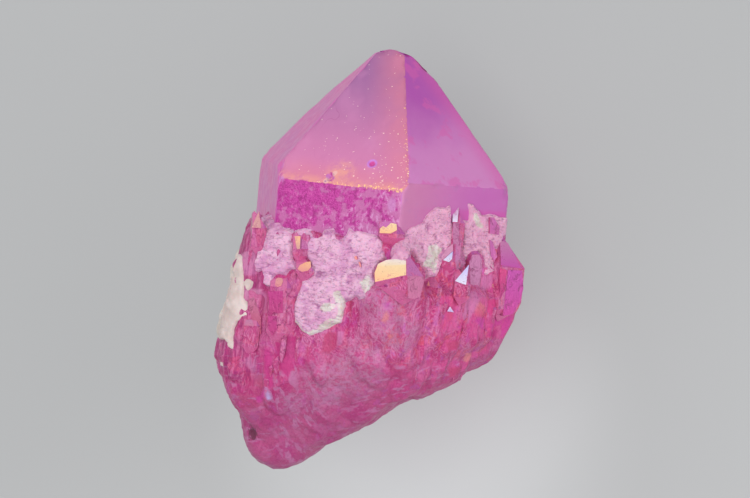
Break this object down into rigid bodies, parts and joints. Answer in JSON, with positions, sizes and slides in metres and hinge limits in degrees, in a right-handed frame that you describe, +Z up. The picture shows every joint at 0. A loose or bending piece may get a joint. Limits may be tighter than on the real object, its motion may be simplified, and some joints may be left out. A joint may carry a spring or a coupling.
{
  "type": "aura quartz specimen",
  "caption": "Single quartz point with a magenta aura coat, grown from a rough root of parallel crystals with pale rock matrix, lying on its back.",
  "frame": {"origin": "on the surface it rests on, under the middle of the specimen's box", "axes": "+Y along the quartz c axis towards the point, +Z up, out of the front prism face"},
  "size_m": [0.05, 0.0676, 0.0449],
  "materials": {
    "aura_coat": "milky quartz under an iridescent magenta, violet and golden vapour-deposited coat, satin to glossy on the crystal faces",
    "coated_matrix": "rough matt rock matrix, tinted pale pink by the coat",
    "bare_matrix": "rough matt white rock matrix with no coat"
  },
  "bodies": {
    "root": {"aura_quartz": "aura_coat"}
  },
  "joints": []
}
